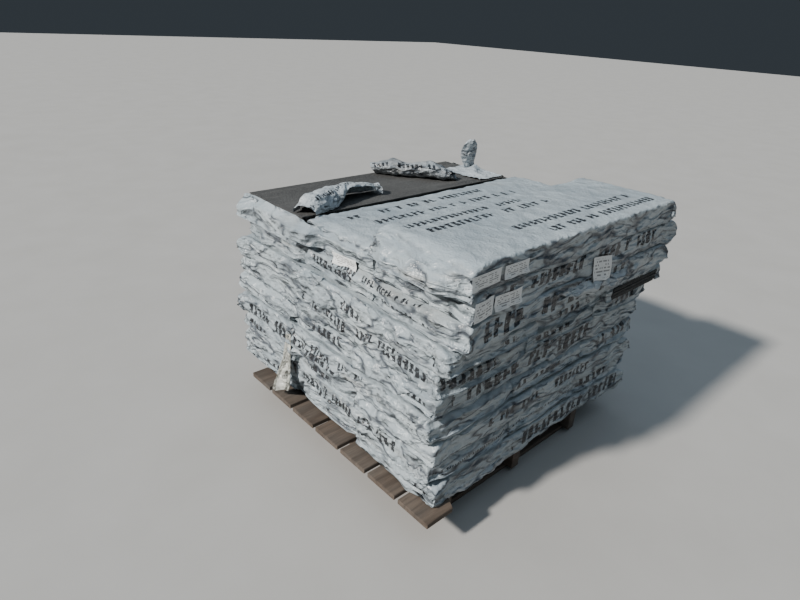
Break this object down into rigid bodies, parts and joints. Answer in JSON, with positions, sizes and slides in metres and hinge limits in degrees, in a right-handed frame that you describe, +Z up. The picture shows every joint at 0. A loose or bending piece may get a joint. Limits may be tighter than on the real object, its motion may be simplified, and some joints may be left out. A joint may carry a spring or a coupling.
{
  "type": "pallet load of asphalt shingle bundles",
  "caption": "Wooden pallet stacked with crossed layers of film-wrapped asphalt shingle bundles; one bundle on top is torn open and shows its bare shingles.",
  "frame": {"origin": "under the middle of the deck, on the underside of the middle foot board", "axes": "+Z up, X along the deck boards, Y along the stringers"},
  "size_m": [1.154, 1.1525, 0.9743],
  "materials": {
    "pallet_wood": "weathered rough-sawn softwood",
    "wrap_film": "wrinkled blue-grey polyethylene film",
    "torn_film": "crumpled thin polyethylene film",
    "shingle": "asphalt with fine mineral granules"
  },
  "bodies": {
    "root": {"foot_board_1": "pallet_wood", "foot_board_2": "pallet_wood", "foot_board_3": "pallet_wood", "stringer_1": "pallet_wood", "stringer_2": "pallet_wood", "stringer_3": "pallet_wood", "deck_board_1": "pallet_wood", "deck_board_2": "pallet_wood", "deck_board_3": "pallet_wood", "deck_board_4": "pallet_wood", "deck_board_5": "pallet_wood", "deck_board_6": "pallet_wood", "deck_board_7": "pallet_wood", "bundle_layer_01": "wrap_film", "bundle_layer_02": "wrap_film", "bundle_layer_03": "wrap_film", "bundle_layer_04": "wrap_film", "bundle_layer_05": "wrap_film", "bundle_layer_06": "wrap_film", "bundle_layer_07": "wrap_film", "bundle_layer_08": "wrap_film", "bundle_layer_09": "wrap_film", "bundle_layer_10": "wrap_film", "film_under_shingles": "torn_film", "bare_shingles": "shingle", "torn_film_arch": "torn_film", "torn_film_roll": "torn_film", "torn_film_spread": "torn_film", "torn_film_flap": "torn_film", "hanging_film_strip": "torn_film"}
  },
  "joints": []
}
